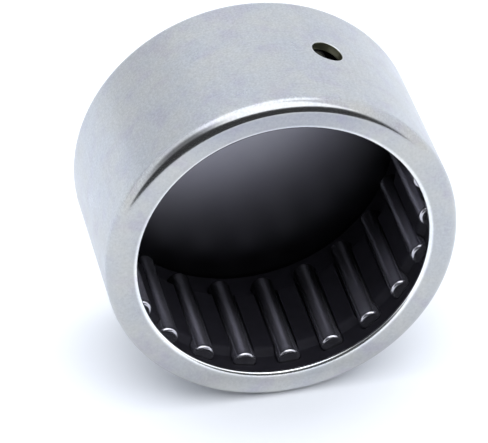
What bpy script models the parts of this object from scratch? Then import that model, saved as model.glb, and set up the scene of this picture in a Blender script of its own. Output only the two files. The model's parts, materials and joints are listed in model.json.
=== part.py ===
"""Needle roller bearing: a drawn steel cup, closed at one end, with a cage of needle rollers.

The bearing lies on its side. Its axis is Y, its open mouth faces -Y, its closed end faces +Y, and
the origin is on the axis, halfway along the width. Inside the parent empty the axis is Z, with the
mouth at the top, so every piece below is turned about its own Z.
"""
import math

import bmesh
import bpy
from mathutils import Matrix

MM = 0.001

# Drawn cup
OUTSIDE_DIAMETER = 37.0 * MM
WIDTH = 20.0 * MM
CUP_WALL = 1.0 * MM
CLOSED_END_THICKNESS = 1.0 * MM
LIP_THICKNESS = 0.6 * MM
MOUTH_CORNER_RADIUS = 1.44 * MM
CLOSED_CORNER_RADIUS = 1.2 * MM
INSIDE_CORNER_RADIUS = 0.4 * MM
LIP_NOSE_WIDTH = 0.95 * MM
LIP_NOSE_DEPTH = 0.35 * MM
LIP_BACK_RADIUS = 0.15 * MM
OIL_HOLE_DIAMETER = 3.3 * MM
OIL_HOLE_ANGLE = math.radians(68.3)
OIL_HOLE_SHIFT = 0.5 * MM  # from mid-width towards the closed end
OIL_HOLE_CUT_DEPTH = 2.4 * MM

# Needle rollers
ROLLER_COUNT = 21
ROLLER_DIAMETER = 2.5 * MM
ROLLER_END_RADIUS = 0.4 * MM
FIRST_ROLLER_ANGLE = math.radians(0.3)

# Sheet steel cage
CAGE_SHEET = 0.5 * MM
CAGE_RING_WIDTH = 2.0 * MM
CAGE_RING_RISE = 0.44 * MM
CAGE_BAR_DROP = 0.31 * MM
BAR_STEP_START = 1.4 * MM
BAR_STEP_LENGTH = 0.9 * MM

# Running fits
RACEWAY_CLEARANCE = 0.04 * MM
POCKET_CLEARANCE = 0.10 * MM
POCKET_END_CLEARANCE = 0.15 * MM
CAGE_END_CLEARANCE = 0.30 * MM
LIP_SHAFT_CLEARANCE = 0.35 * MM

# Facets: a whole number of cup facets for each roller, with one facet straight down
CUP_SEGMENTS = 4 * ROLLER_COUNT
CAGE_SEGMENTS = 4 * ROLLER_COUNT
ROLLER_SEGMENTS = 16
POCKET_SEGMENTS = 24
HOLE_SEGMENTS = 20
MERGE_DISTANCE = 0.00001
SHARP_ANGLE = math.radians(35)

# Sizes that follow
OUTSIDE_RADIUS = OUTSIDE_DIAMETER / 2
ROLLER_RADIUS = ROLLER_DIAMETER / 2
RACEWAY_RADIUS = OUTSIDE_RADIUS - CUP_WALL
PITCH_RADIUS = RACEWAY_RADIUS - RACEWAY_CLEARANCE - ROLLER_RADIUS
SHAFT_RADIUS = PITCH_RADIUS - ROLLER_RADIUS
LIP_BORE_RADIUS = SHAFT_RADIUS + LIP_SHAFT_CLEARANCE
MOUTH = WIDTH / 2
CLOSED_END = -WIDTH / 2
LIP_INSIDE = MOUTH - LIP_THICKNESS
FLOOR_INSIDE = CLOSED_END + CLOSED_END_THICKNESS
CAGE_TOP = LIP_INSIDE - CAGE_END_CLEARANCE
CAGE_BOTTOM = FLOOR_INSIDE + CAGE_END_CLEARANCE
CAGE_MIDDLE = (CAGE_TOP + CAGE_BOTTOM) / 2
POCKET_LENGTH = CAGE_TOP - CAGE_BOTTOM - 2 * CAGE_RING_WIDTH
ROLLER_LENGTH = POCKET_LENGTH - 2 * POCKET_END_CLEARANCE


def clear_scene():
    for item in list(bpy.data.objects):
        bpy.data.objects.remove(item, do_unlink=True)


def new_collection(name):
    collection = bpy.data.collections.new(name)
    bpy.context.scene.collection.children.link(collection)
    return collection


def steel(name, colour, roughness, metallic=1.0):
    material = bpy.data.materials.new(name)
    material.use_nodes = True
    shader = material.node_tree.nodes["Principled BSDF"]
    shader.inputs["Base Color"].default_value = (*colour, 1.0)
    shader.inputs["Roughness"].default_value = roughness
    shader.inputs["Metallic"].default_value = metallic
    material.diffuse_color = (*colour, 1.0)
    return material


def arc(centre, radii, start, end, count):
    """Points of an elliptical arc in the (radius, height) plane, from start to end in degrees."""
    points = []
    for step in range(count + 1):
        angle = math.radians(start + (end - start) * step / count)
        points.append((centre[0] + radii[0] * math.cos(angle), centre[1] + radii[1] * math.sin(angle)))
    return points


def turned_mesh(name, outline, segments, closed, outer_flats):
    """Turn an outline of (radius, height) points about Z.

    With outer_flats the middles of the facets lie on the named radii, and otherwise their edges do.
    """
    half_step = math.pi / segments
    grow = 1 / math.cos(half_step) if outer_flats else 1.0
    points = [
        (radius * grow * math.cos(half_step), radius * grow * math.sin(half_step), height)
        for radius, height in outline
    ]
    edges = [(index, index + 1) for index in range(len(points) - 1)]
    if closed:
        edges.append((len(points) - 1, 0))
    profile_mesh = bpy.data.meshes.new(name + "_profile")
    profile_mesh.from_pydata(points, edges, [])
    profile = bpy.data.objects.new(name + "_profile", profile_mesh)
    bpy.context.scene.collection.objects.link(profile)
    screw = profile.modifiers.new("turn", "SCREW")
    screw.steps = segments
    screw.render_steps = segments
    screw.use_merge_vertices = True
    screw.merge_threshold = MERGE_DISTANCE
    bpy.context.view_layer.update()
    graph = bpy.context.evaluated_depsgraph_get()
    mesh = bpy.data.meshes.new_from_object(profile.evaluated_get(graph))
    mesh.name = name
    bpy.data.objects.remove(profile, do_unlink=True)
    bpy.data.meshes.remove(profile_mesh)
    mesh.shade_smooth()
    mesh.set_sharp_from_angle(angle=SHARP_ANGLE)
    return mesh


def add_piece(name, mesh, material, collection, parent):
    if material.name not in mesh.materials:
        mesh.materials.append(material)
    piece = bpy.data.objects.new(name, mesh)
    collection.objects.link(piece)
    piece.parent = parent
    return piece


def add_cutter(name, mesh, collection, parent):
    cutter = bpy.data.objects.new(name, mesh)
    collection.objects.link(cutter)
    cutter.parent = parent
    cutter.display_type = "WIRE"
    cutter.hide_render = True
    return cutter


def cut(piece, cutter):
    boolean = piece.modifiers.new(cutter.name, "BOOLEAN")
    boolean.operation = "DIFFERENCE"
    boolean.solver = "EXACT"
    boolean.object = cutter


def cup_outline():
    """From the middle of the inner floor, up the raceway, round the lip and down the outside."""
    corner = INSIDE_CORNER_RADIUS
    back = LIP_BACK_RADIUS
    mouth_corner = MOUTH_CORNER_RADIUS
    closed_corner = CLOSED_CORNER_RADIUS
    outline = [(0.0, FLOOR_INSIDE)]
    outline += arc((RACEWAY_RADIUS - corner, FLOOR_INSIDE + corner), (corner, corner), -90, 0, 2)
    outline += arc((RACEWAY_RADIUS - corner, LIP_INSIDE - corner), (corner, corner), 0, 90, 2)
    outline += arc((LIP_BORE_RADIUS + back, LIP_INSIDE + back), (back, back), 270, 180, 1)
    nose_centre = (LIP_BORE_RADIUS + LIP_NOSE_WIDTH, MOUTH - LIP_NOSE_DEPTH)
    outline += arc(nose_centre, (LIP_NOSE_WIDTH, LIP_NOSE_DEPTH), 180, 90, 3)
    mouth_centre = (OUTSIDE_RADIUS - mouth_corner, MOUTH - mouth_corner)
    outline += arc(mouth_centre, (mouth_corner, mouth_corner), 90, 0, 4)
    closed_centre = (OUTSIDE_RADIUS - closed_corner, CLOSED_END + closed_corner)
    outline += arc(closed_centre, (closed_corner, closed_corner), 0, -90, 4)
    outline.append((0.0, CLOSED_END))
    return outline


def oil_hole_mesh():
    """A round cutter, pointing out through the wall, with its flats on the hole's radius."""
    mesh = bpy.data.meshes.new("oil_hole_cutter")
    shape = bmesh.new()
    radius = OIL_HOLE_DIAMETER / 2 / math.cos(math.pi / HOLE_SEGMENTS)
    wall_middle = OUTSIDE_RADIUS - CUP_WALL / 2
    place = (
        Matrix.Rotation(OIL_HOLE_ANGLE, 4, "Z")
        @ Matrix.Translation((wall_middle, 0.0, -OIL_HOLE_SHIFT))
        @ Matrix.Rotation(math.pi / 2, 4, "Y")
    )
    bmesh.ops.create_cone(
        shape, cap_ends=True, segments=HOLE_SEGMENTS, radius1=radius, radius2=radius,
        depth=OIL_HOLE_CUT_DEPTH, matrix=place,
    )
    shape.to_mesh(mesh)
    shape.free()
    return mesh


def sheet_outline(path, thickness):
    """The two sides of a bent sheet whose middle follows a path of (radius, height) points.

    The path runs down. Each corner is mitred: its offset is half the thickness, divided by the
    cosine of half the bend.
    """
    directions = []
    for start, end in zip(path, path[1:]):
        run = math.dist(start, end)
        directions.append(((end[0] - start[0]) / run, (end[1] - start[1]) / run))
    outer = []
    inner = []
    for index, point in enumerate(path):
        before = directions[max(index - 1, 0)]
        after = directions[min(index, len(directions) - 1)]
        normal = (-(before[1] + after[1]), before[0] + after[0])
        size = math.hypot(*normal)
        offset = thickness / 2 / (size / 2)
        shift = (normal[0] / size * offset, normal[1] / size * offset)
        outer.append((point[0] + shift[0], point[1] + shift[1]))
        inner.append((point[0] - shift[0], point[1] - shift[1]))
    return outer + inner[::-1]


def cage_outline():
    """A shallow W: the end rings lie outside the pitch circle and the bars dip inside it."""
    ring = PITCH_RADIUS + CAGE_RING_RISE
    bar = PITCH_RADIUS - CAGE_BAR_DROP
    step_start = POCKET_LENGTH / 2 - BAR_STEP_START
    step_end = step_start - BAR_STEP_LENGTH
    path = [
        (ring, CAGE_TOP),
        (ring, CAGE_MIDDLE + step_start),
        (bar, CAGE_MIDDLE + step_end),
        (bar, CAGE_MIDDLE - step_end),
        (ring, CAGE_MIDDLE - step_start),
        (ring, CAGE_BOTTOM),
    ]
    return sheet_outline(path, CAGE_SHEET)


def roller_place(index):
    """Where a roller's centre lies, turned so that its local X points away from the bearing axis."""
    angle = FIRST_ROLLER_ANGLE + 2 * math.pi * index / ROLLER_COUNT
    return Matrix.Rotation(angle, 4, "Z") @ Matrix.Translation((PITCH_RADIUS, 0.0, CAGE_MIDDLE))


def pocket_mesh():
    """One cylinder for each pocket, a clearance larger than its roller all round."""
    mesh = bpy.data.meshes.new("pocket_cutter")
    shape = bmesh.new()
    radius = (ROLLER_RADIUS + POCKET_CLEARANCE) / math.cos(math.pi / POCKET_SEGMENTS)
    for index in range(ROLLER_COUNT):
        bmesh.ops.create_cone(
            shape, cap_ends=True, segments=POCKET_SEGMENTS, radius1=radius, radius2=radius,
            depth=POCKET_LENGTH, matrix=roller_place(index),
        )
    shape.to_mesh(mesh)
    shape.free()
    return mesh


def roller_outline():
    end = ROLLER_END_RADIUS
    half = ROLLER_LENGTH / 2
    outline = [(0.0, half)]
    outline += arc((ROLLER_RADIUS - end, half - end), (end, end), 90, 0, 2)
    outline += arc((ROLLER_RADIUS - end, end - half), (end, end), 0, -90, 2)
    outline.append((0.0, -half))
    return outline


def make_cup(parts, cutters, axis):
    mesh = turned_mesh("drawn_cup", cup_outline(), CUP_SEGMENTS, closed=False, outer_flats=True)
    material = steel("satin_bearing_steel", (0.48, 0.50, 0.54), 0.34)
    cup = add_piece("drawn_cup", mesh, material, parts, axis)
    cut(cup, add_cutter("oil_hole_cutter", oil_hole_mesh(), cutters, axis))


def make_cage(parts, cutters, axis):
    mesh = turned_mesh("roller_cage", cage_outline(), CAGE_SEGMENTS, closed=True, outer_flats=False)
    material = steel("blackened_sheet_steel", (0.035, 0.033, 0.045), 0.45, metallic=0.6)
    cage = add_piece("roller_cage", mesh, material, parts, axis)
    cut(cage, add_cutter("pocket_cutter", pocket_mesh(), cutters, axis))


def make_rollers(parts, axis):
    mesh = turned_mesh("needle_roller", roller_outline(), ROLLER_SEGMENTS, closed=False, outer_flats=False)
    material = steel("ground_roller_steel", (0.22, 0.22, 0.25), 0.22)
    for index in range(ROLLER_COUNT):
        roller = add_piece(f"needle_roller_{index + 1:02d}", mesh, material, parts, axis)
        place = roller_place(index)
        roller.location = place.to_translation()
        roller.rotation_euler = place.to_euler()


def main():
    clear_scene()
    parts = new_collection("needle_roller_bearing")
    cutters = new_collection("cutters")
    axis = bpy.data.objects.new("bearing_axis", None)
    axis.rotation_euler = (math.pi / 2, 0.0, 0.0)
    axis.empty_display_size = WIDTH
    parts.objects.link(axis)
    make_cup(parts, cutters, axis)
    make_cage(parts, cutters, axis)
    make_rollers(parts, axis)
    cutters.hide_render = True
    bpy.context.view_layer.update()


main()
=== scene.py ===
import json
import math

import bmesh
import bpy
import numpy as np
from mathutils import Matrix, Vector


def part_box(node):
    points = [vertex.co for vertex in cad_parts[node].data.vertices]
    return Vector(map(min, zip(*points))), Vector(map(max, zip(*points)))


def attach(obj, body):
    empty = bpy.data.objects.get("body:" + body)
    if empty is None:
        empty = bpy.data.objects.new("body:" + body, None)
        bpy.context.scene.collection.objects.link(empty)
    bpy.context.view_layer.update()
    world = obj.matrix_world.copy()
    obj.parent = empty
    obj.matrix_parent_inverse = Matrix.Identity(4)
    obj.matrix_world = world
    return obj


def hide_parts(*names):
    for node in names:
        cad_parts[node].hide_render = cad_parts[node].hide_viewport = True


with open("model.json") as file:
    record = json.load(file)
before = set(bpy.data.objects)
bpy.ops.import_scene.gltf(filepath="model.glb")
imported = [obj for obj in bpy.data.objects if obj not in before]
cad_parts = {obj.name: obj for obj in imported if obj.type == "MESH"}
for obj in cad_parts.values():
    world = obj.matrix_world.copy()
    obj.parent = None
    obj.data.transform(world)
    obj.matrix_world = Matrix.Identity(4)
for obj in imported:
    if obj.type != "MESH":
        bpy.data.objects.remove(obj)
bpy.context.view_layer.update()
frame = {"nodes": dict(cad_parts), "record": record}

mm = 0.001


def linearColour(hexText):
    # sRGB hex to linear: (c / 12.92) below 0.04045, else ((c + 0.055) / 1.055) to the power 2.4
    parts = [int(hexText[i:i + 2], 16) / 255 for i in (1, 3, 5)]
    linear = [c / 12.92 if c <= 0.04045 else ((c + 0.055) / 1.055) ** 2.4 for c in parts]
    return (*linear, 1.0)


def setInputs(tree, node, inputs):
    # an input takes a plain value, a socket of another node, or a node, whose first output is meant
    for key, value in inputs.items():
        if isinstance(value, bpy.types.Node):
            value = value.outputs[0]
        if isinstance(value, bpy.types.NodeSocket):
            tree.links.new(value, node.inputs[key])
        else:
            node.inputs[key].default_value = value


def addNode(tree, kind, inputs=None, stops=(), **settings):
    # stops are the places and hex colours of a colour ramp's two ends
    node = tree.nodes.new(kind)
    for key, value in settings.items():
        setattr(node, key, value)
    setInputs(tree, node, inputs or {})
    for number, (place, hexText) in enumerate(stops):
        node.color_ramp.elements[number].position = place
        node.color_ramp.elements[number].color = linearColour(hexText)
    return node


def newMaterial(name, inputs):
    material = bpy.data.materials.new(name)
    material.use_nodes = True
    tree = material.node_tree
    shader = tree.nodes["Principled BSDF"]
    setInputs(tree, shader, inputs)
    return material, tree, shader


def span(first, last, count):
    # evenly spaced values, the last one left out so that sections join without doubles
    return np.linspace(first, last, count, endpoint=False)


def arc(centreR, centreY, radiusR, radiusY, startDeg, endDeg, count):
    # points of an ellipse: centre plus radius times (cos, sin) of an angle that runs evenly
    angle = np.radians(span(startDeg, endDeg, count))
    return np.stack([centreR + radiusR * np.cos(angle), centreY + radiusY * np.sin(angle)], 1)


def line(startR, startY, endR, endY, count):
    # points of a straight line: start plus an even share of the way to the end
    return np.stack([span(startR, endR, count), span(startY, endY, count)], 1)


def smooth(t):
    # 3 t squared - 2 t cubed, between 0 and 1
    t = np.clip(t, 0, 1)
    return t * t * (3 - 2 * t)


def turned(profile, angles, centreX=0.0, centreZ=0.0):
    # a profile of (radius, y) turned about an axis along Y: (radius cos angle, y, radius sin angle)
    radius, y = profile[:, 0][:, None], profile[:, 1][:, None]
    return np.stack([
        centreX + radius * np.cos(angles),
        np.repeat(y, len(angles), 1),
        centreZ + radius * np.sin(angles),
    ], -1)


def gridFaces(rows, columns, closeColumns=True):
    # quads of a grid whose vertex number is row * columns + column
    columnIds = np.arange(columns if closeColumns else columns - 1)
    r, c = np.meshgrid(np.arange(rows - 1), columnIds, indexing="ij")
    c2 = (c + 1) % columns
    return np.stack([r * columns + c, r * columns + c2, (r + 1) * columns + c2, (r + 1) * columns + c], -1)


def makePiece(name, points, quads, materials, slots=None, sharpDeg=40):
    # points closer than this are one: the poles and the seams of a turned grid
    merge = 0.0002 * mm
    mesh = bpy.data.meshes.new(name)
    mesh.from_pydata(points.reshape(-1, 3), [], quads.reshape(-1, 4))
    for material in materials:
        mesh.materials.append(material)
    if slots is not None:
        mesh.polygons.foreach_set("material_index", slots.reshape(-1).astype(np.int32))
    work = bmesh.new()
    work.from_mesh(mesh)
    loose = [vertex for vertex in work.verts if not vertex.link_faces]
    bmesh.ops.delete(work, geom=loose, context="VERTS")
    bmesh.ops.remove_doubles(work, verts=work.verts, dist=merge)
    bmesh.ops.dissolve_degenerate(work, edges=work.edges, dist=merge)
    bmesh.ops.recalc_face_normals(work, faces=work.faces)
    work.to_mesh(mesh)
    work.free()
    mesh.shade_smooth()
    mesh.set_sharp_from_angle(angle=math.radians(sharpDeg))
    piece = bpy.data.objects.new(name, mesh)
    bpy.context.scene.collection.objects.link(piece)
    return piece


# the camera comes first, because the framing comes from it
view = {
    "azimuth": -12.71,  # degrees, from looking along +Y
    "elevation": 35.84,
    "distance": 355.0 * mm,
    "aim": (-1.5 * mm, -1.5 * mm, -2.5 * mm),
    "lens": 250.5,  # millimetres, as the sensor is
    "sensor": 36.0,
    "shift": (-0.0173, 0.0152),
    "clipStart": 10.0 * mm,
}


def makeCamera():
    # it looks at the aim from the distance, along (sin a cos e, -cos a cos e, sin e)
    a = math.radians(view["azimuth"])
    e = math.radians(view["elevation"])
    back = np.array([math.sin(a) * math.cos(e), -math.cos(a) * math.cos(e), math.sin(e)])
    data = bpy.data.cameras.new("camera")
    data.lens = view["lens"]
    data.sensor_width = view["sensor"]
    data.shift_x, data.shift_y = view["shift"]
    data.clip_start = view["clipStart"]
    camera = bpy.data.objects.new("camera", data)
    camera.location = np.array(view["aim"]) + view["distance"] * back
    camera.rotation_euler = (math.pi / 2 - e, 0.0, a)
    bpy.context.scene.collection.objects.link(camera)
    bpy.context.scene.camera = camera


# a cloth tent lights the bearing: lit panels in the roof, and a dark opening in front
tent = {
    "light": "#F6F9FF",
    "walls": 1.38,  # brightness of the cloth walls
    "roof": 2.54,  # brightness of the lit panels in the roof
    # the panels' edges, in heights of the roof above the bearing: u is to the right, v to the back
    "leftEdge": -0.72,
    "backEdge": 0.45,
    "frontEdge": -1.5,
    "slantedEdge": 0.14,  # the front panel ends where u + v passes this
    "backPanelFrom": 0.04,
    "backPanelTo": 0.55,
    "panelSoft": 0.05,
    "lowestLook": 0.02,  # a direction lower than this is taken to be this high
    "opening": 0.08,  # what shows through the open front
    "openingTurn": -5.0,  # degrees that the opening's middle lies to the left
    "openingHalf": 50.0,  # degrees to each side of its middle
    "openingSoft": 7.0,
    "openingTop": 37.5,  # degrees above the horizon
    "openingTopLean": 10.0,  # degrees that its top edge rises to the left
    "openingTopSoft": 2.0,
    "shade": 0.79,  # a duller stretch of wall, low down behind on the left
    "shadeTo": (-0.63, 0.77, 0.08),
    "shadeHalf": 24.0,
    "shadeSoft": 18.0,
    "corner": 0.25,  # the dim corner between the open front and the left wall
    "cornerTo": (-0.66, -0.42, 0.62),
    "cornerHalf": 18.0,
    "cornerSoft": 12.0,
}


def makeTent():
    # brightness by direction: (panels of the roof, else the walls) times the shade times the corner,
    # and the opening over them
    world = bpy.data.worlds.new("lightTent")
    bpy.context.scene.world = world
    world.use_nodes = True
    tree = world.node_tree
    look = addNode(tree, "ShaderNodeTexCoord").outputs["Generated"]
    parts = addNode(tree, "ShaderNodeSeparateXYZ", {"Vector": look}).outputs
    # u and v are where a direction meets the roof: x / z and y / z
    height = addNode(tree, "ShaderNodeMath", {0: parts["Z"], 1: tent["lowestLook"]}, operation="MAXIMUM")
    u = addNode(tree, "ShaderNodeMath", {0: parts["X"], 1: height}, operation="DIVIDE")
    v = addNode(tree, "ShaderNodeMath", {0: parts["Y"], 1: height}, operation="DIVIDE")
    slant = addNode(tree, "ShaderNodeMath", {0: u, 1: v}, operation="ADD")

    # each edge is 1 on its lit side and 0 past it; the lit side is below (-1) or above (1) its value
    soft = tent["panelSoft"]
    edges = {}
    for name, source, side in (
            ("slantedEdge", slant, -1), ("backPanelTo", u, -1), ("backPanelFrom", v, 1),
            ("leftEdge", u, 1), ("backEdge", v, -1), ("frontEdge", v, 1)):
        edges[name] = addNode(tree, "ShaderNodeMapRange", {
            "Value": source, "From Min": tent[name] - side * soft, "From Max": tent[name] + side * soft,
        }, interpolation_type="SMOOTHSTEP")
    backPanel = addNode(tree, "ShaderNodeMath", {0: edges["backPanelTo"], 1: edges["backPanelFrom"]},
                        operation="MULTIPLY")
    panels = addNode(tree, "ShaderNodeMath", {0: edges["slantedEdge"], 1: backPanel}, operation="MAXIMUM")
    for name in ("leftEdge", "backEdge", "frontEdge"):
        panels = addNode(tree, "ShaderNodeMath", {0: panels, 1: edges[name]}, operation="MULTIPLY")
    cloth = addNode(tree, "ShaderNodeMapRange", {
        "Value": panels, "To Min": tent["walls"], "To Max": tent["roof"]}, interpolation_type="SMOOTHSTEP")

    # cones of directions: the cosine of the angle to a cone's middle goes from its value outside to
    # its value inside across its soft edge
    turn = math.radians(tent["openingTurn"])
    lean = math.radians(tent["openingTopLean"])
    ahead = (math.sin(turn), -math.cos(turn), 0.0)
    overhead = (math.sin(lean), 0.0, math.cos(lean))
    cones = {}
    for name, middle, half, soft, outside, inside in (
            ("shade", tent["shadeTo"], tent["shadeHalf"], tent["shadeSoft"], 1.0, tent["shade"]),
            ("corner", tent["cornerTo"], tent["cornerHalf"], tent["cornerSoft"], 1.0, tent["corner"]),
            ("inFront", ahead, tent["openingHalf"], tent["openingSoft"], 0.0, 1.0),
            ("belowTop", overhead, 90 - tent["openingTop"], tent["openingTopSoft"], 1.0, 0.0)):
        unit = [c / math.hypot(*middle) for c in middle]
        cosine = addNode(tree, "ShaderNodeVectorMath", {0: look, 1: unit}, operation="DOT_PRODUCT")
        cones[name] = addNode(tree, "ShaderNodeMapRange", {
            "Value": cosine.outputs["Value"], "From Min": math.cos(math.radians(half + soft)),
            "From Max": math.cos(math.radians(half - soft)), "To Min": outside, "To Max": inside,
        }, interpolation_type="SMOOTHSTEP")
    for name in ("shade", "corner"):
        cloth = addNode(tree, "ShaderNodeMath", {0: cloth, 1: cones[name]}, operation="MULTIPLY")
    window = addNode(tree, "ShaderNodeMath", {0: cones["inFront"], 1: cones["belowTop"]},
                     operation="MULTIPLY")
    strength = addNode(tree, "ShaderNodeMix", {"Factor": window, "A": cloth, "B": tent["opening"]},
                       data_type="FLOAT")
    setInputs(tree, tree.nodes["Background"], {"Color": linearColour(tent["light"]), "Strength": strength})


floorSizes = {
    "drop": 0.02 * mm,  # air under the cup
    "front": 210 * mm,
    "back": 900 * mm,
    "side": 900 * mm,
    "points": 9,  # along each side of its grid
    "colour": "#F7F9FC",
    "roughness": 0.9,
    "gloss": 0.2,
}


def makeFloor():
    # matt white paper: an even white with next to no gloss; a flat grid of x and y
    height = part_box("drawn_cup")[0].z - floorSizes["drop"]
    count = floorSizes["points"]
    xs = np.linspace(-floorSizes["side"], floorSizes["side"], count)
    ys = np.linspace(-floorSizes["front"], floorSizes["back"], count)
    x, y = np.meshgrid(xs, ys, indexing="ij")
    points = np.stack([x, y, np.full_like(x, height)], -1)
    material = newMaterial("mattPaperSweep", {
        "Base Color": linearColour(floorSizes["colour"]), "Roughness": floorSizes["roughness"],
        "Specular IOR Level": floorSizes["gloss"]})[0]
    floor = makePiece("floor", points, gridFaces(count, count, False), [material])
    if floor.data.polygons[0].normal.z < 0:
        floor.data.flip_normals()


cup = {
    "wall": 1.0 * mm,
    "closedEnd": 1.0 * mm,
    "lip": 0.6 * mm,
    "lipBore": 15.31 * mm,
    "noseWidth": 0.95 * mm,  # the lip's inner edge is rounded to a part of an ellipse
    "noseDepth": 0.35 * mm,
    "noseBack": 0.15 * mm,
    "mouthCorner": 1.44 * mm,
    "mouthCornerStart": 13.0,  # degrees: the corner leaves the flat face at this angle
    "closedCorner": 1.2 * mm,
    "insideCorner": 0.4 * mm,
    "holeRadius": 1.65 * mm,
    "holeShift": 0.5 * mm,  # from mid-width towards the closed end
    "holeAngle": 68.3,  # degrees, from +X towards +Z
    "holeEdge": 0.16 * mm,
    "segments": 360,
    "holeBlock": 8,  # grid cells from the hole's middle to the edge of its patch
    "holeSteps": (8, 7, 4),  # grid rows from the patch's edge to the hole, round its edge and down it
    "sharpAngle": 10.0,
    # the finishes: a pattern is the size of its patches, its detail and its roughness; tones are the
    # two ends of a cloudy pattern; a band says where a change starts and where it ends
    "outside": {
        "patterns": {
            "cloud": (4.0 * mm, 3.0, 0.55),
            "violet": (2.2 * mm, 2.0, 0.55),
            "grain": (0.22 * mm, 2.0, 0.6),  # grit marks, as coarse as they show
            "dieLines": (0.35 * mm, 2.0, 0.5),
        },
        "dieLineStretch": (1.0, 0.04, 1.0),
        "wallTones": ("#ABAFB4", "#B0B2B2"),
        "lipTones": ("#ABADAF", "#B2B2AF"),
        "violetTone": "#F8F5FC",
        "violetSpan": (0.5, 0.68),  # of its pattern, so that it comes in patches
        # painted shade, tinted violet, over the top of the lip's flat face
        "topPaintedShadeTone": "#DFE1EB",  # over the top of the lip's flat face
        # painted light low on the lip and a painted highlight round its inner edge, as factors on its colour
        "lowPaintedLight": 1.42,
        "innerPaintedHighlight": 2.0,
        "wallBand": (0.4 * mm, 1.5 * mm),  # behind the mouth, where the lip's finish ends
        "lowBand": (0.5 * mm, 4.0 * mm),  # above the underside
        "innerBand": (0.19 * mm, 0.54 * mm),  # out from the lip's bore
        "faceBand": (1.4 * mm, 1.0 * mm),  # in from the outside
        "topBand": (6.0 * mm, 1.5 * mm),  # below the top
        "wallGrit": (0.87, 1.11),
        "lipGrit": (0.93, 1.06),
        "dieLineTone": (0.975, 1.02),
        "wallRoughness": (0.27, 0.35),
        "lipRoughness": 0.16,
        "lipRelief": 0.25,  # a share of the wall's
        "reliefStrength": 0.3,
        "relief": 0.012 * mm,
    },
    "hole": {
        "tones": ("#8A8A72", "#B6B8BA"),  # its wall and its edge
        "roughness": (0.4, 0.25),
        "edgeBand": (0.14 * mm, 0.04 * mm),  # in from the outside
    },
    "raceway": {
        "patterns": {"cloud": (6.0 * mm, 4.0, 0.55), "grain": (0.3 * mm, 2.0, 0.55)},
        # dark tones: painted shade over the inside of the cup
        "tones": ("#6C6B78", "#787780"),
        "grainTone": (0.96, 1.04),
        "roughness": 0.34,
    },
    "endFloor": {
        "patterns": {"cloud": (7.0 * mm, 3.0, 0.55)},
        "tones": ("#9C9AA4", "#A2A1A8"),
        "roughness": 0.34,
        # painted shade: darker low down and round the rim, as factors on the colour
        "paintedShadeTone": 0.5,
        "shadeLiftsToward": (-0.4, 0.0, 0.92),  # painted shade darkens away from here
        "paintedShadingBand": (-8.0 * mm, 9.0 * mm),
        "rimPaintedShadeTone": 0.5,
        "rimPaintedShadeBand": (6.5 * mm, 1.0 * mm),  # in from the raceway
    },
}

noiseMiddle = (0.3, 0.7)  # holds nearly all of a noise's values
toneMiddle = (0.35, 0.65)  # a little less, for clearer patches


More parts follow.
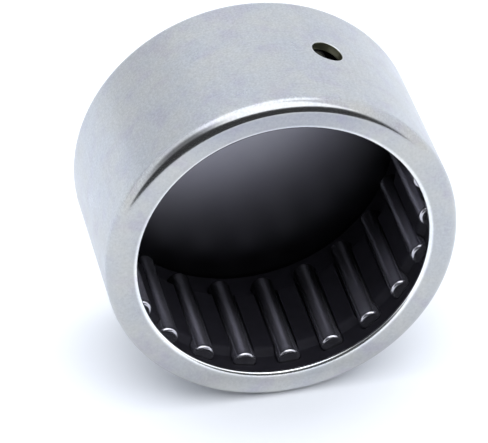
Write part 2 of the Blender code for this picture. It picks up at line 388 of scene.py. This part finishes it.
def makeOutsideSteel():
    # drawn bearing steel, barrel finished: a fine matt grain spreads the highlights softly, faint blue
    # and straw oxide tints lie over it, and the die has left very faint lines along the axis; the lip
    # was rolled over a polished tool, so it is smoother and its highlights are sharper
    finish = cup["outside"]
    low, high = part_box("drawn_cup")
    radius = (high.x - low.x) / 2
    material, tree, shader = newMaterial("barrelFinishedSteel", {"Metallic": 1.0})
    place = addNode(tree, "ShaderNodeTexCoord").outputs["Object"]
    parts = addNode(tree, "ShaderNodeSeparateXYZ", {"Vector": place}).outputs
    across = addNode(tree, "ShaderNodeVectorMath", {0: place, 1: (1, 0, 1)}, operation="MULTIPLY")
    fromAxis = addNode(tree, "ShaderNodeVectorMath", {0: across}, operation="LENGTH").outputs["Value"]
    along = addNode(tree, "ShaderNodeMapping", {"Vector": place, "Scale": finish["dieLineStretch"]})
    noises = {}
    for name, (size, detail, roughness) in finish["patterns"].items():
        noises[name] = addNode(tree, "ShaderNodeTexNoise", {
            "Vector": along if name == "dieLines" else place, "Scale": 1 / size, "Detail": detail,
            "Roughness": roughness})

    # painted light brightens the lip low down and a painted highlight lies round its inner edge; painted
    # shade with a violet tint darkens the top of its flat face
    bands = {}
    for name, source, start, side, first, last in (
            ("wall", parts["Y"], low.y, 1, 0.0, 1.0),
            ("low", parts["Z"], -radius, 1, finish["lowPaintedLight"], 1.0),
            ("inner", fromAxis, cup["lipBore"], 1, finish["innerPaintedHighlight"], 1.0),
            ("face", fromAxis, radius, -1, 1.0, 0.0),
            ("top", parts["Z"], radius, -1, 0.0, 1.0)):
        nearer, further = finish[name + "Band"]
        bands[name] = addNode(tree, "ShaderNodeMapRange", {
            "Value": source, "From Min": start + side * nearer, "From Max": start + side * further,
            "To Min": first, "To Max": last}, interpolation_type="SMOOTHSTEP")
    setInputs(tree, bands["top"], {"To Max": bands["face"]})

    # painted shade at the top of the lip's flat face
    topPaintedShade = addNode(tree, "ShaderNodeValToRGB", {"Fac": bands["top"]},
                      ((0.0, "#FFFFFF"), (1.0, finish["topPaintedShadeTone"])))
    lip = addNode(tree, "ShaderNodeValToRGB", {"Fac": noises["cloud"]}, zip(toneMiddle, finish["lipTones"]))
    lip = addNode(tree, "ShaderNodeVectorMath", {0: lip, 1: topPaintedShade}, operation="MULTIPLY")
    # painted light low down and a painted highlight round the inner edge
    for paintedLightFactor in (bands["low"], bands["inner"]):
        lip = addNode(tree, "ShaderNodeVectorMath", {0: lip, "Scale": paintedLightFactor}, operation="SCALE")
    wall = addNode(tree, "ShaderNodeValToRGB", {"Fac": noises["cloud"]}, zip(toneMiddle, finish["wallTones"]))
    # for colours, this node has its two sides at 6 and 7 and its result at 2
    steel = addNode(tree, "ShaderNodeMix", {"Factor": bands["wall"], 6: lip, 7: wall}, data_type="RGBA")
    violet = addNode(tree, "ShaderNodeValToRGB", {"Fac": noises["violet"]},
                     zip(finish["violetSpan"], ("#FFFFFF", finish["violetTone"])))
    colour = addNode(tree, "ShaderNodeVectorMath", {0: steel.outputs[2], 1: violet}, operation="MULTIPLY")

    spreads = {}
    for name, pattern in (("wallGrit", "grain"), ("lipGrit", "grain"), ("dieLineTone", "dieLines"),
                          ("wallRoughness", "cloud")):
        spreads[name] = addNode(tree, "ShaderNodeMapRange", {
            "Value": noises[pattern], "From Min": noiseMiddle[0], "From Max": noiseMiddle[1],
            "To Min": finish[name][0], "To Max": finish[name][1]})
    grit = addNode(tree, "ShaderNodeMix", {
        "Factor": bands["wall"], "A": spreads["lipGrit"], "B": spreads["wallGrit"]}, data_type="FLOAT")
    for tone in (grit, spreads["dieLineTone"]):
        colour = addNode(tree, "ShaderNodeVectorMath", {0: colour, "Scale": tone}, operation="SCALE")
    roughness = addNode(tree, "ShaderNodeMix", {
        "Factor": bands["wall"], "A": finish["lipRoughness"], "B": spreads["wallRoughness"],
    }, data_type="FLOAT")
    depth = addNode(tree, "ShaderNodeMapRange", {"Value": bands["wall"], "To Min": finish["lipRelief"]})
    relief = addNode(tree, "ShaderNodeMath", {0: noises["grain"], 1: depth}, operation="MULTIPLY")
    bump = addNode(tree, "ShaderNodeBump", {
        "Height": relief, "Strength": finish["reliefStrength"], "Distance": finish["relief"]})
    setInputs(tree, shader, {"Base Color": colour, "Roughness": roughness, "Normal": bump})
    return material


def makeHoleSteel():
    # the drilled hole: an olive brown film of old oil on its wall, and a bright edge where the burr
    # was tumbled off
    finish = cup["hole"]
    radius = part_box("drawn_cup")[1].x
    material, tree, shader = newMaterial("drilledHoleSteel", {"Metallic": 1.0})
    place = addNode(tree, "ShaderNodeTexCoord").outputs["Object"]
    across = addNode(tree, "ShaderNodeVectorMath", {0: place, 1: (1, 0, 1)}, operation="MULTIPLY")
    fromAxis = addNode(tree, "ShaderNodeVectorMath", {0: across}, operation="LENGTH").outputs["Value"]
    edge = addNode(tree, "ShaderNodeMapRange", {
        "Value": fromAxis, "From Min": radius - finish["edgeBand"][0],
        "From Max": radius - finish["edgeBand"][1]})
    colour = addNode(tree, "ShaderNodeValToRGB", {"Fac": edge}, zip((0.0, 1.0), finish["tones"]))
    roughness = addNode(tree, "ShaderNodeMapRange", {
        "Value": edge, "To Min": finish["roughness"][0], "To Max": finish["roughness"][1]})
    setInputs(tree, shader, {"Base Color": colour, "Roughness": roughness})
    return material


def makeRacewaySteel():
    # hardened raceway steel with a soft sheen; its dark colour is painted shade over the inside of the cup
    finish = cup["raceway"]
    material, tree, shader = newMaterial("racewaySteelWithPaintedShade", {
        "Metallic": 1.0, "Roughness": finish["roughness"]})
    place = addNode(tree, "ShaderNodeTexCoord").outputs["Object"]
    noises = {}
    for name, (size, detail, roughness) in finish["patterns"].items():
        noises[name] = addNode(tree, "ShaderNodeTexNoise", {
            "Vector": place, "Scale": 1 / size, "Detail": detail, "Roughness": roughness})
    colour = addNode(tree, "ShaderNodeValToRGB", {"Fac": noises["cloud"]}, zip(noiseMiddle, finish["tones"]))
    grain = addNode(tree, "ShaderNodeMapRange", {
        "Value": noises["grain"], "From Min": noiseMiddle[0], "From Max": noiseMiddle[1],
        "To Min": finish["grainTone"][0], "To Max": finish["grainTone"][1]})
    colour = addNode(tree, "ShaderNodeVectorMath", {0: colour, "Scale": grain}, operation="SCALE")
    setInputs(tree, shader, {"Base Color": colour})
    return material


def makeEndFloorSteel():
    # inside of the closed end, as drawn: bare and soft in its sheen at the top; painted shade darkens it
    # below and round the rim
    finish = cup["endFloor"]
    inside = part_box("drawn_cup")[1].x - cup["wall"]
    material, tree, shader = newMaterial("endFloorSteelWithPaintedShade", {
        "Metallic": 1.0, "Roughness": finish["roughness"]})
    place = addNode(tree, "ShaderNodeTexCoord").outputs["Object"]
    size, detail, roughness = finish["patterns"]["cloud"]
    cloud = addNode(tree, "ShaderNodeTexNoise", {
        "Vector": place, "Scale": 1 / size, "Detail": detail, "Roughness": roughness})
    colour = addNode(tree, "ShaderNodeValToRGB", {"Fac": cloud}, zip(noiseMiddle, finish["tones"]))
    across = addNode(tree, "ShaderNodeVectorMath", {0: place, 1: (1, 0, 1)}, operation="MULTIPLY")
    fromAxis = addNode(tree, "ShaderNodeVectorMath", {0: across}, operation="LENGTH").outputs["Value"]
    rise = addNode(tree, "ShaderNodeVectorMath", {0: place, 1: finish["shadeLiftsToward"]},
                   operation="DOT_PRODUCT").outputs["Value"]
    paintedShadingFrom, paintedShadingTo = finish["paintedShadingBand"]
    rimShadeFrom, rimShadeTo = [inside - depth for depth in finish["rimPaintedShadeBand"]]
    # painted shade, darker low down and round the rim
    for source, start, end, first, last in (
            (rise, paintedShadingFrom, paintedShadingTo, finish["paintedShadeTone"], 1.0),
            (fromAxis, rimShadeFrom, rimShadeTo, 1.0, finish["rimPaintedShadeTone"])):
        tone = addNode(tree, "ShaderNodeMapRange", {
            "Value": source, "From Min": start, "From Max": end, "To Min": first, "To Max": last,
        }, interpolation_type="SMOOTHSTEP")
        colour = addNode(tree, "ShaderNodeVectorMath", {0: colour, "Scale": tone}, operation="SCALE")
    setInputs(tree, shader, {"Base Color": colour})
    return material


# the cup's materials, in their order on its mesh
outside, raceway, endFloor, hole = range(4)


def cupProfile(radius, mouth, end):
    # runs out along the inside floor, up the raceway, round the lip, down the outside to the axis;
    # each part ends with its number of grid steps; returns the points, the material of each and the
    # rows where the two hole blocks start
    wall = radius - cup["wall"]
    inFloor = end - cup["closedEnd"]
    lipBack = mouth + cup["lip"]
    c = cup["insideCorner"]
    back = cup["noseBack"]
    k = cup["closedCorner"]
    block = cup["holeBlock"]
    reach = block * radius * 2 * math.pi / cup["segments"]
    middle = (mouth + end) / 2 + cup["holeShift"]
    start = math.radians(cup["mouthCornerStart"])
    corner = cup["mouthCorner"]
    cornerR = radius - corner
    cornerY = mouth + corner * math.cos(start)
    noseR = cup["lipBore"] + cup["noseWidth"]
    sections = []

    def add(points, slot):
        # returns the row where the next part starts
        sections.append((points, slot))
        return sum(len(s[0]) for s in sections)

    add(line(0, inFloor, wall - c, inFloor, 30), endFloor)
    add(arc(wall - c, inFloor - c, c, c, 90, 0, 8), raceway)
    innerStart = add(line(wall, inFloor - c, wall, middle + reach, 16), raceway)
    add(line(wall, middle + reach, wall, middle - reach, 2 * block), raceway)
    add(line(wall, middle - reach, wall, lipBack + c, 16), raceway)
    add(arc(wall - c, lipBack + c, c, c, 0, -90, 8), raceway)
    add(line(wall - c, lipBack, cup["lipBore"] + back, lipBack, 6), raceway)
    add(arc(cup["lipBore"] + back, lipBack - back, back, back, 90, 180, 6), outside)
    add(arc(noseR, mouth + cup["noseDepth"], cup["noseWidth"], cup["noseDepth"], 180, 270, 14), outside)
    add(line(noseR, mouth, cornerR + corner * math.sin(start), mouth, 14), outside)
    add(arc(cornerR, cornerY, corner, corner, -90 + cup["mouthCornerStart"], 0, 24), outside)
    outerStart = add(line(radius, cornerY, radius, middle - reach, 20), outside)
    add(line(radius, middle - reach, radius, middle + reach, 2 * block), outside)
    add(line(radius, middle + reach, radius, end - k, 20), outside)
    add(arc(radius - k, end - k, k, k, 0, 90, 16), outside)
    add(line(radius - k, end, 0, end, 30), outside)
    points = np.concatenate([s[0] for s in sections] + [np.array([[0.0, end]])])
    slots = np.concatenate([np.full(len(s[0]), s[1]) for s in sections])
    return points, slots, innerStart, outerStart


def holePatch(radius, wall, reach, middle, cellAngle):
    # one grid that runs round the hole: for each point of the block's square edge, a path over the
    # outside to the hole, round its edge, down the hole, round again and out over the raceway; a point
    # lies at square times (1 - blend) plus (cos, sin) times circle times blend
    block = cup["holeBlock"]
    n = 2 * block
    steps = np.arange(n)
    side = np.concatenate([steps, np.full(n, n), n - steps, np.zeros(n, int)])
    rise = np.concatenate([np.zeros(n, int), steps, np.full(n, n), n - steps])
    turn = (side - block) * cellAngle
    squareY = (rise - block) / block * reach
    around = np.arctan2(squareY, radius * np.sin(turn))

    edge = cup["holeEdge"]
    wide = cup["holeRadius"] + edge
    over, rounding, down = cup["holeSteps"]
    flat = np.zeros(over)
    bend = np.linspace(0, math.pi / 2, rounding)
    drop = np.linspace(0, 1, down + 2)[1:-1]
    # the rows stand closer together near the hole
    closing = np.linspace(0, 1, over, endpoint=False) ** 0.8
    opening = np.linspace(1, 0, over + 1)[1:]
    blend = np.concatenate([closing, np.ones(2 * rounding + down), opening])[:, None]
    circle = np.concatenate([
        flat + wide, wide - edge * np.sin(bend), 0 * drop + cup["holeRadius"],
        wide - edge * np.sin(bend[::-1]), flat + wide])[:, None]
    # level 0 is the outside surface and 1 the raceway; depth is measured inwards from there
    level = np.concatenate([flat, 0 * bend, drop, 0 * bend + 1, flat + 1])[:, None]
    depth = np.concatenate([
        flat, edge * (1 - np.cos(bend)), edge * (1 - 2 * drop),
        -edge * (1 - np.cos(bend[::-1])), flat])[:, None]
    square = np.where(level > 0, wall, radius) * np.sin(turn)
    across = square * (1 - blend) + np.cos(around) * circle * blend
    y = squareY * (1 - blend) + np.sin(around) * circle * blend
    surface = np.sqrt(radius ** 2 - across ** 2) * (1 - level) + np.sqrt(wall ** 2 - across ** 2) * level
    radial = surface - depth

    angle = math.radians(cup["holeAngle"])
    points = np.stack([
        radial * math.cos(angle) - across * math.sin(angle),
        y + middle,
        radial * math.sin(angle) + across * math.cos(angle),
    ], -1)
    rows = len(points)
    row = np.arange(rows - 1)[:, None] + np.zeros(len(turn), int)
    holeEnd = over + 2 * rounding + down - 1
    slots = np.select([row < over, row < holeEnd], [outside, hole], raceway)
    return points, gridFaces(rows, len(turn)), slots


def makeCup(materials):
    # a profile turned about the axis, with a square block of cells left out of the outside and of the
    # raceway where the hole's own patch goes in
    low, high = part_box("drawn_cup")
    radius = (high.x - low.x) / 2
    profile, slots, innerRow, outerRow = cupProfile(radius, low.y, high.y)
    count = cup["segments"]
    block = cup["holeBlock"]
    pitch = 2 * math.pi / count
    points = turned(profile, math.radians(cup["holeAngle"]) + np.arange(count) * pitch)
    quads = gridFaces(len(profile), count)
    keep = np.ones(quads.shape[:2], bool)
    columns = np.arange(-block, block) % count
    for row in (innerRow, outerRow):
        keep[row:row + 2 * block, columns] = False
    patch, patchQuads, patchSlots = holePatch(
        radius, radius - cup["wall"], block * radius * pitch, (low.y + high.y) / 2 + cup["holeShift"], pitch)
    allPoints = np.concatenate([points.reshape(-1, 3), patch.reshape(-1, 3)])
    allQuads = np.concatenate([quads[keep], patchQuads.reshape(-1, 4) + points.size // 3])
    allSlots = np.concatenate([np.repeat(slots[:, None], count, 1)[keep], patchSlots.reshape(-1)])
    piece = makePiece("cup_shell", allPoints, allQuads, materials, allSlots, cup["sharpAngle"])
    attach(piece, "cup")
    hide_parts("drawn_cup")


cage = {
    "sheet": 0.5 * mm,
    "ringRadius": 16.65 * mm,
    "barRadius": 15.9 * mm,
    "stepStart": 1.4 * mm,  # from the pocket's end to where a bar starts to dip
    "stepLength": 0.9 * mm,
    "pocketHalf": 1.3 * mm,
    "pocketPlay": 0.1 * mm,
    "pocketCorner": 0.45 * mm,
    "pocketCells": 6,  # grid cells across a pocket and across a bar
    "barCells": 8,
    "edge": 0.07 * mm,
    "edgeAngle": 50.0,
    "tones": ("#16141D", "#1E1C26"),
    "toneSpan": (0.35, 0.7),  # of its cloudy pattern
    "metallic": 0.3,
    "roughness": 0.75,
    "patterns": {"cloud": (1.4 * mm, 4.0, 0.55), "grain": (0.25 * mm, 2.0, 0.55)},
    "reliefStrength": 0.15,
    "relief": 0.01 * mm,
}


def makeCageSteel():
    # sheet steel, pressed, hardened and blackened: dark and matt
    material, tree, shader = newMaterial("blackenedSheetSteel", {
        "Metallic": cage["metallic"], "Roughness": cage["roughness"]})
    place = addNode(tree, "ShaderNodeTexCoord").outputs["Object"]
    noises = {}
    for name, (size, detail, roughness) in cage["patterns"].items():
        noises[name] = addNode(tree, "ShaderNodeTexNoise", {
            "Vector": place, "Scale": 1 / size, "Detail": detail, "Roughness": roughness})
    colour = addNode(tree, "ShaderNodeValToRGB", {"Fac": noises["cloud"]},
                     zip(cage["toneSpan"], cage["tones"]))
    bump = addNode(tree, "ShaderNodeBump", {
        "Height": noises["grain"], "Strength": cage["reliefStrength"], "Distance": cage["relief"]})
    setInputs(tree, shader, {"Base Color": colour, "Normal": bump})
    return material


def makeCage(material, count, firstAngle):
    # the middle of the sheet is a surface of the angle and y: its radius dips from the rings to the
    # bars, and the columns beside each pocket bend round its corners
    low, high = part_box("roller_cage")
    rollerLow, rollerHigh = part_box("needle_roller_01")
    middle = (rollerLow.y + rollerHigh.y) / 2
    halfPocket = (rollerHigh.y - rollerLow.y) / 2 + cage["pocketPlay"]
    corner = cage["pocketCorner"]

    # rows along y: the bar's middle, its step, its straight end, the pocket's corner and the ring,
    # each with its number of rows
    stepTo = halfPocket - cage["stepStart"] - cage["stepLength"]
    half = np.unique(np.concatenate([
        np.linspace(0, stepTo, 8),
        np.linspace(stepTo, stepTo + cage["stepLength"], 12),
        np.linspace(stepTo + cage["stepLength"], halfPocket - corner, 5),
        halfPocket - corner * (1 - np.cos(np.linspace(0, math.pi / 2, 7))),
    ]).round(8))
    far = np.linspace(halfPocket, high.y - middle, 7)[1:]
    near = np.linspace(-halfPocket, low.y - middle, 7)[1:]
    ys = np.concatenate([near[::-1], -half[:0:-1], half, far])
    inPocket = (np.abs(ys[:-1] + ys[1:]) / 2) < halfPocket
    dip = smooth((halfPocket - cage["stepStart"] - np.abs(ys)) / cage["stepLength"])
    radius = cage["ringRadius"] + (cage["barRadius"] - cage["ringRadius"]) * dip

    # columns round the axis: the pocket's half width, as an angle, less what its corners take
    intoCorner = np.clip(np.abs(ys) - (halfPocket - corner), 0, corner)
    width = cage["pocketHalf"] - corner + np.sqrt(corner ** 2 - intoCorner ** 2)
    halfAngle = np.arcsin(width / radius)[:, None]
    pitch = 2 * math.pi / count
    pocketCells, barCells = cage["pocketCells"], cage["barCells"]
    pocketPart = halfAngle * span(-1, 1, pocketCells)
    barPart = halfAngle + (pitch - 2 * halfAngle) * span(0, 1, barCells)
    sector = np.concatenate([pocketPart, barPart], 1)
    turns = firstAngle + pitch * np.arange(count)
    angle = (turns[None, :, None] + sector[:, None, :]).reshape(len(ys), -1)
    ring = radius[:, None]
    points = np.stack([
        ring * np.cos(angle),
        np.repeat((ys + middle)[:, None], angle.shape[1], 1),
        ring * np.sin(angle),
    ], -1)
    quads = gridFaces(len(ys), angle.shape[1])
    isPocket = np.tile(np.arange(pocketCells + barCells) < pocketCells, count)
    keep = ~(inPocket[:, None] & isPocket[None, :])
    piece = makePiece("cage_sheet", points, quads[keep], [material], sharpDeg=180)

    sheet = piece.modifiers.new("sheet", "SOLIDIFY")
    sheet.thickness = cage["sheet"]
    sheet.offset = 0.0
    sheet.use_even_offset = True
    edges = piece.modifiers.new("edges", "BEVEL")
    edges.width = cage["edge"]
    edges.segments = 2
    edges.limit_method = "ANGLE"
    edges.angle_limit = math.radians(cage["edgeAngle"])
    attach(piece, "cage")
    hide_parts("roller_cage")


roller = {
    "endRadius": 0.4 * mm,
    "endDish": 0.04 * mm,  # how far the middle of an end face lies back
    "crown": 0.004 * mm,  # how much the ends of the side fall away
    "around": 56,
    "tones": ("#A2A1A8", "#AEADB2"),
    "metallic": 0.95,
    "roughness": (0.11, 0.16),
    "ringPattern": (0.12 * mm, 2.0, 0.55),  # grinding marks, as coarse as they show
    "ringStretch": (0.03, 1.0, 0.03),
    "paintedShadingTones": (2.2, 0.3),  # painted light at the near end and painted shade at the far one
    "paintedShadingBand": (-0.55 * mm, 10.95 * mm),  # from the near end
    "endDullness": 1.7,
    "nearBand": (0.05 * mm, 0.45 * mm),  # from the near end
    "farBand": (0.4 * mm, 0.05 * mm),  # from the far end
}


def makeRollerSteel():
    # bearing steel, ground: fine rings from the wheel and a narrow highlight; painted light brightens the
    # rollers at the near end and painted shade darkens them towards the closed end
    low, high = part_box("needle_roller_01")
    material, tree, shader = newMaterial("groundRollerSteel", {"Metallic": roller["metallic"]})
    place = addNode(tree, "ShaderNodeTexCoord").outputs["Object"]
    depth = addNode(tree, "ShaderNodeSeparateXYZ", {"Vector": place}).outputs["Y"]
    ringPlace = addNode(tree, "ShaderNodeMapping", {"Vector": place, "Scale": roller["ringStretch"]})
    size, detail, roughness = roller["ringPattern"]
    rings = addNode(tree, "ShaderNodeTexNoise", {
        "Vector": ringPlace, "Scale": 1 / size, "Detail": detail, "Roughness": roughness})
    colour = addNode(tree, "ShaderNodeValToRGB", {"Fac": rings}, zip(noiseMiddle, roller["tones"]))
    # painted light at the near end, fading to painted shade at the far end
    paintedShadingFrom, paintedShadingTo = roller["paintedShadingBand"]
    paintedShading = addNode(tree, "ShaderNodeMapRange", {
        "Value": depth, "From Min": low.y + paintedShadingFrom, "From Max": low.y + paintedShadingTo,
        "To Min": roller["paintedShadingTones"][0], "To Max": roller["paintedShadingTones"][1]}, interpolation_type="SMOOTHSTEP")
    # the ends are tumbled, not ground, so they are duller and softer in their sheen
    dull = roller["endDullness"]
    nearEnd = addNode(tree, "ShaderNodeMapRange", {
        "Value": depth, "From Min": low.y + roller["nearBand"][0], "From Max": low.y + roller["nearBand"][1],
        "To Min": dull, "To Max": 1.0})
    farEnd = addNode(tree, "ShaderNodeMapRange", {
        "Value": depth, "From Min": high.y - roller["farBand"][0], "From Max": high.y - roller["farBand"][1],
        "To Min": 1.0, "To Max": dull})
    ends = addNode(tree, "ShaderNodeMath", {0: nearEnd, 1: farEnd}, operation="MULTIPLY")
    tone = addNode(tree, "ShaderNodeMath", {0: paintedShading, 1: ends}, operation="DIVIDE")
    colour = addNode(tree, "ShaderNodeVectorMath", {0: colour, "Scale": tone}, operation="SCALE")
    sheen = addNode(tree, "ShaderNodeMapRange", {
        "Value": rings, "From Min": noiseMiddle[0], "From Max": noiseMiddle[1],
        "To Min": roller["roughness"][0], "To Max": roller["roughness"][1]})
    roughness = addNode(tree, "ShaderNodeMath", {0: sheen, 1: ends}, operation="MULTIPLY")
    setInputs(tree, shader, {"Base Color": colour, "Roughness": roughness})
    return material


def makeRoller(name, body, material):
    # a profile turned about the roller's own axis, which runs along Y; its side falls away from the
    # middle by crown times the square of the share of the way to its end
    low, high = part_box(name)
    radius = max(high.x - low.x, high.z - low.z) / 2
    middle = (low.y + high.y) / 2
    half = (high.y - low.y) / 2
    e = roller["endRadius"]
    flat = span(0, radius - e, 8)
    dish = half - roller["endDish"] * (1 - smooth(flat / (radius - e)))
    face = np.stack([flat, dish], 1)
    edge = arc(radius - e, half - e, e, e, 90, 0, 10)
    sideY = np.linspace(half - e, 0, 8)
    side = np.stack([radius - roller["crown"] * (sideY / (half - e)) ** 2, sideY], 1)
    upper = np.concatenate([face, edge, side])
    lower = upper[::-1][1:] * np.array([1.0, -1.0])
    profile = np.concatenate([upper, lower]) + np.array([0.0, middle])
    angles = span(0, 2 * math.pi, roller["around"])
    points = turned(profile, angles, (low.x + high.x) / 2, (low.z + high.z) / 2)
    piece = makePiece(name + "_ground", points, gridFaces(len(profile), len(angles)), [material])
    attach(piece, body)
    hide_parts(name)


bpy.context.scene.view_settings.view_transform = "Standard"
makeCamera()
makeTent()
makeFloor()
print("camera, light tent and floor are in place")

makeCup([makeOutsideSteel(), makeRacewaySteel(), makeEndFloorSteel(), makeHoleSteel()])
print("cup made")

rollerNames = sorted(name for name in frame["nodes"] if name.startswith("needle_roller_"))
firstLow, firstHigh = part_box(rollerNames[0])
firstAngle = math.atan2((firstLow.z + firstHigh.z) / 2, (firstLow.x + firstHigh.x) / 2)
makeCage(makeCageSteel(), len(rollerNames), firstAngle)
print("cage made")

bodyOf = {node: body for body, nodes in frame["record"]["behaviour"]["bodies"].items() for node in nodes}
rollerSteel = makeRollerSteel()
for rollerName in rollerNames:
    makeRoller(rollerName, bodyOf[rollerName], rollerSteel)
print(len(rollerNames), "rollers made")
